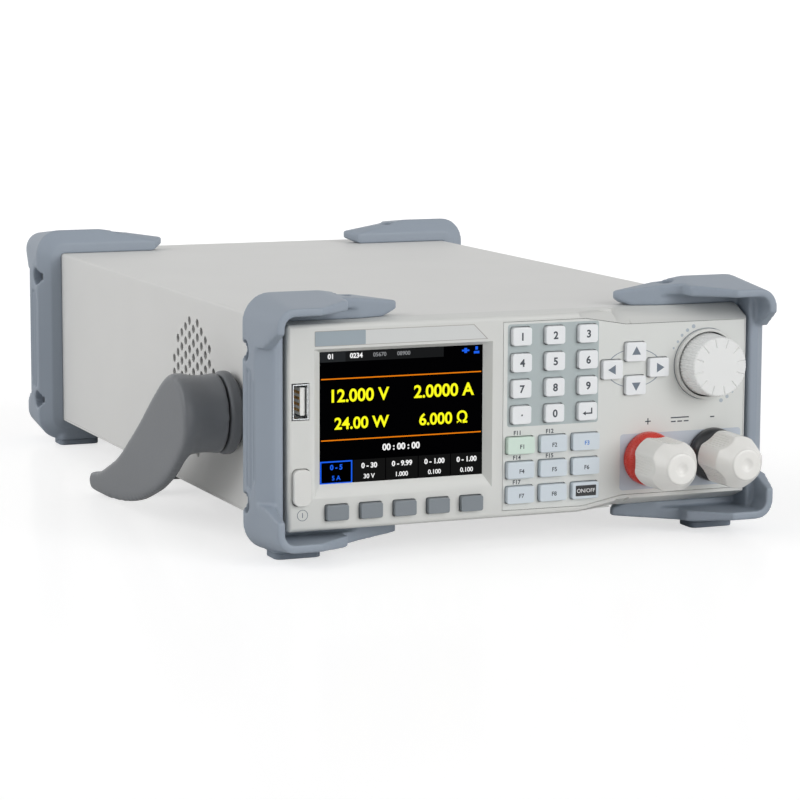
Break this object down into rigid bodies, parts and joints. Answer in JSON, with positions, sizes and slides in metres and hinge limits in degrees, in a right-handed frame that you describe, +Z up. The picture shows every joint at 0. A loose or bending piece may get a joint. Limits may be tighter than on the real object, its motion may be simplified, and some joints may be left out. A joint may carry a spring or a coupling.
{
  "type": "dc electronic load",
  "caption": "Flat bench test instrument with soft corner bumpers, swinging bail, keypad, display, knob and screw-down input posts",
  "frame": {"origin": "bottom centre of the bounding box, on the bench under the instrument", "axes": "+Z up, +X to the right as seen from the front, the front panel faces -Y"},
  "size_m": [0.2584, 0.3852, 0.1064],
  "materials": {
    "bezel_plastic": "fine moulded texture",
    "overlay_plastic": "smooth satin",
    "display_glass": "glossy black",
    "case_paint": "satin powder coat",
    "bumper_rubber": "matt moulded",
    "foot_rubber": "matt moulded",
    "steel": "plated",
    "red_plastic": "moulded",
    "black_plastic": "moulded",
    "brass": "turned",
    "silicone": "moulded",
    "circuit_board": "solder mask",
    "sink_aluminium": "extruded",
    "fan_plastic": "moulded",
    "hub_plastic": "moulded",
    "bail_plastic": "moulded",
    "key_plastic": "moulded",
    "fn_plastic": "moulded",
    "soft_plastic": "moulded",
    "knob_plastic": "moulded",
    "nut_plastic": "moulded"
  },
  "bodies": {
    "instrument": {"front_bezel": "bezel_plastic", "overlay_panel": "overlay_plastic", "display": "display_glass", "top_cover": "case_paint", "base_tray": "case_paint", "rear_panel": "case_paint", "bumper_fl": "bumper_rubber", "bumper_fr": "bumper_rubber", "bumper_rl": "bumper_rubber", "bumper_rr": "bumper_rubber", "feet": "foot_rubber", "bumper_screws": "steel", "usb_port": "steel", "collar_red": "red_plastic", "collar_black": "black_plastic", "post_studs": "brass", "key_mat": "silicone", "front_board": "circuit_board", "heatsink": "sink_aluminium", "fan_frame": "fan_plastic", "mains_inlet": "black_plastic", "bail_hubs": "hub_plastic"},
    "key_1": {"key_1": "key_plastic"},
    "key_2": {"key_2": "key_plastic"},
    "key_3": {"key_3": "key_plastic"},
    "key_4": {"key_4": "key_plastic"},
    "key_5": {"key_5": "key_plastic"},
    "key_6": {"key_6": "key_plastic"},
    "key_7": {"key_7": "key_plastic"},
    "key_8": {"key_8": "key_plastic"},
    "key_9": {"key_9": "key_plastic"},
    "key_point": {"key_point": "key_plastic"},
    "key_0": {"key_0": "key_plastic"},
    "key_enter": {"key_enter": "key_plastic"},
    "key_up": {"key_up": "key_plastic"},
    "key_down": {"key_down": "key_plastic"},
    "key_left": {"key_left": "key_plastic"},
    "key_right": {"key_right": "key_plastic"},
    "fn_1": {"fn_1": "fn_plastic"},
    "fn_2": {"fn_2": "fn_plastic"},
    "fn_3": {"fn_3": "fn_plastic"},
    "fn_4": {"fn_4": "fn_plastic"},
    "fn_5": {"fn_5": "fn_plastic"},
    "fn_6": {"fn_6": "fn_plastic"},
    "fn_7": {"fn_7": "fn_plastic"},
    "fn_8": {"fn_8": "fn_plastic"},
    "fn_9": {"fn_9": "fn_plastic"},
    "soft_1": {"soft_1": "soft_plastic"},
    "soft_2": {"soft_2": "soft_plastic"},
    "soft_3": {"soft_3": "soft_plastic"},
    "soft_4": {"soft_4": "soft_plastic"},
    "soft_5": {"soft_5": "soft_plastic"},
    "power_button": {"power_button": "key_plastic"},
    "adjust_knob": {"adjust_knob": "knob_plastic"},
    "washer_red": {"washer_red": "brass"},
    "nut_red": {"nut_red": "nut_plastic"},
    "washer_black": {"washer_black": "brass"},
    "nut_black": {"nut_black": "nut_plastic"},
    "bail": {"bail": "bail_plastic"},
    "fan_rotor": {"fan_rotor": "fan_plastic"}
  },
  "joints": [
    {"name": "key_1_press", "type": "slide", "parent": "instrument", "child": "key_1", "axis": [0, 1, 0], "range_m": [0, 0.001], "stiffness_N_per_m": 600, "springref_m": -0.001},
    {"name": "key_2_press", "type": "slide", "parent": "instrument", "child": "key_2", "axis": [0, 1, 0], "range_m": [0, 0.001], "stiffness_N_per_m": 600, "springref_m": -0.001},
    {"name": "key_3_press", "type": "slide", "parent": "instrument", "child": "key_3", "axis": [0, 1, 0], "range_m": [0, 0.001], "stiffness_N_per_m": 600, "springref_m": -0.001},
    {"name": "key_4_press", "type": "slide", "parent": "instrument", "child": "key_4", "axis": [0, 1, 0], "range_m": [0, 0.001], "stiffness_N_per_m": 600, "springref_m": -0.001},
    {"name": "key_5_press", "type": "slide", "parent": "instrument", "child": "key_5", "axis": [0, 1, 0], "range_m": [0, 0.001], "stiffness_N_per_m": 600, "springref_m": -0.001},
    {"name": "key_6_press", "type": "slide", "parent": "instrument", "child": "key_6", "axis": [0, 1, 0], "range_m": [0, 0.001], "stiffness_N_per_m": 600, "springref_m": -0.001},
    {"name": "key_7_press", "type": "slide", "parent": "instrument", "child": "key_7", "axis": [0, 1, 0], "range_m": [0, 0.001], "stiffness_N_per_m": 600, "springref_m": -0.001},
    {"name": "key_8_press", "type": "slide", "parent": "instrument", "child": "key_8", "axis": [0, 1, 0], "range_m": [0, 0.001], "stiffness_N_per_m": 600, "springref_m": -0.001},
    {"name": "key_9_press", "type": "slide", "parent": "instrument", "child": "key_9", "axis": [0, 1, 0], "range_m": [0, 0.001], "stiffness_N_per_m": 600, "springref_m": -0.001},
    {"name": "key_point_press", "type": "slide", "parent": "instrument", "child": "key_point", "axis": [0, 1, 0], "range_m": [0, 0.001], "stiffness_N_per_m": 600, "springref_m": -0.001},
    {"name": "key_0_press", "type": "slide", "parent": "instrument", "child": "key_0", "axis": [0, 1, 0], "range_m": [0, 0.001], "stiffness_N_per_m": 600, "springref_m": -0.001},
    {"name": "key_enter_press", "type": "slide", "parent": "instrument", "child": "key_enter", "axis": [0, 1, 0], "range_m": [0, 0.001], "stiffness_N_per_m": 600, "springref_m": -0.001},
    {"name": "key_up_press", "type": "slide", "parent": "instrument", "child": "key_up", "axis": [0, 1, 0], "range_m": [0, 0.001], "stiffness_N_per_m": 600, "springref_m": -0.001},
    {"name": "key_down_press", "type": "slide", "parent": "instrument", "child": "key_down", "axis": [0, 1, 0], "range_m": [0, 0.001], "stiffness_N_per_m": 600, "springref_m": -0.001},
    {"name": "key_left_press", "type": "slide", "parent": "instrument", "child": "key_left", "axis": [0, 1, 0], "range_m": [0, 0.001], "stiffness_N_per_m": 600, "springref_m": -0.001},
    {"name": "key_right_press", "type": "slide", "parent": "instrument", "child": "key_right", "axis": [0, 1, 0], "range_m": [0, 0.001], "stiffness_N_per_m": 600, "springref_m": -0.001},
    {"name": "fn_1_press", "type": "slide", "parent": "instrument", "child": "fn_1", "axis": [0, 1, 0], "range_m": [0, 0.001], "stiffness_N_per_m": 600, "springref_m": -0.001},
    {"name": "fn_2_press", "type": "slide", "parent": "instrument", "child": "fn_2", "axis": [0, 1, 0], "range_m": [0, 0.001], "stiffness_N_per_m": 600, "springref_m": -0.001},
    {"name": "fn_3_press", "type": "slide", "parent": "instrument", "child": "fn_3", "axis": [0, 1, 0], "range_m": [0, 0.001], "stiffness_N_per_m": 600, "springref_m": -0.001},
    {"name": "fn_4_press", "type": "slide", "parent": "instrument", "child": "fn_4", "axis": [0, 1, 0], "range_m": [0, 0.001], "stiffness_N_per_m": 600, "springref_m": -0.001},
    {"name": "fn_5_press", "type": "slide", "parent": "instrument", "child": "fn_5", "axis": [0, 1, 0], "range_m": [0, 0.001], "stiffness_N_per_m": 600, "springref_m": -0.001},
    {"name": "fn_6_press", "type": "slide", "parent": "instrument", "child": "fn_6", "axis": [0, 1, 0], "range_m": [0, 0.001], "stiffness_N_per_m": 600, "springref_m": -0.001},
    {"name": "fn_7_press", "type": "slide", "parent": "instrument", "child": "fn_7", "axis": [0, 1, 0], "range_m": [0, 0.001], "stiffness_N_per_m": 600, "springref_m": -0.001},
    {"name": "fn_8_press", "type": "slide", "parent": "instrument", "child": "fn_8", "axis": [0, 1, 0], "range_m": [0, 0.001], "stiffness_N_per_m": 600, "springref_m": -0.001},
    {"name": "fn_9_press", "type": "slide", "parent": "instrument", "child": "fn_9", "axis": [0, 1, 0], "range_m": [0, 0.001], "stiffness_N_per_m": 600, "springref_m": -0.001},
    {"name": "soft_1_press", "type": "slide", "parent": "instrument", "child": "soft_1", "axis": [0, 1, 0], "range_m": [0, 0.001], "stiffness_N_per_m": 600, "springref_m": -0.001},
    {"name": "soft_2_press", "type": "slide", "parent": "instrument", "child": "soft_2", "axis": [0, 1, 0], "range_m": [0, 0.001], "stiffness_N_per_m": 600, "springref_m": -0.001},
    {"name": "soft_3_press", "type": "slide", "parent": "instrument", "child": "soft_3", "axis": [0, 1, 0], "range_m": [0, 0.001], "stiffness_N_per_m": 600, "springref_m": -0.001},
    {"name": "soft_4_press", "type": "slide", "parent": "instrument", "child": "soft_4", "axis": [0, 1, 0], "range_m": [0, 0.001], "stiffness_N_per_m": 600, "springref_m": -0.001},
    {"name": "soft_5_press", "type": "slide", "parent": "instrument", "child": "soft_5", "axis": [0, 1, 0], "range_m": [0, 0.001], "stiffness_N_per_m": 600, "springref_m": -0.001},
    {"name": "power_button_press", "type": "slide", "parent": "instrument", "child": "power_button", "axis": [0, 1, 0], "range_m": [0, 0.001], "stiffness_N_per_m": 600, "springref_m": -0.001},
    {"name": "knob_turn", "type": "hinge", "parent": "instrument", "child": "adjust_knob", "pos_m": [0.0828, -0.16195, 0.0716], "axis": [0, -1, 0], "continuous": true},
    {"name": "red_lift", "type": "slide", "parent": "instrument", "child": "washer_red", "axis": [0, -1, 0], "range_m": [0, 0.0045]},
    {"name": "red_turn", "type": "hinge", "parent": "washer_red", "child": "nut_red", "pos_m": [0.0562, -0.17195, 0.0335], "axis": [0, -1, 0], "range_deg": [0, 1081]},
    {"name": "black_lift", "type": "slide", "parent": "instrument", "child": "washer_black", "axis": [0, -1, 0], "range_m": [0, 0.0045]},
    {"name": "black_turn", "type": "hinge", "parent": "washer_black", "child": "nut_black", "pos_m": [0.0862, -0.17195, 0.0335], "axis": [0, -1, 0], "range_deg": [0, 1081]},
    {"name": "bail_swing", "type": "hinge", "parent": "instrument", "child": "bail", "pos_m": [0, -0.09895, 0.0525], "axis": [-1, 0, 0], "range_deg": [0, 270]},
    {"name": "fan_spin", "type": "hinge", "parent": "instrument", "child": "fan_rotor", "pos_m": [-0.052, 0.16805, 0.0534], "axis": [0, 1, 0], "continuous": true}
  ],
  "couplings": [
    {"joint": "red_turn", "follows": "red_lift", "rad_per_m": 4188.8},
    {"joint": "black_turn", "follows": "black_lift", "rad_per_m": 4188.8}
  ]
}
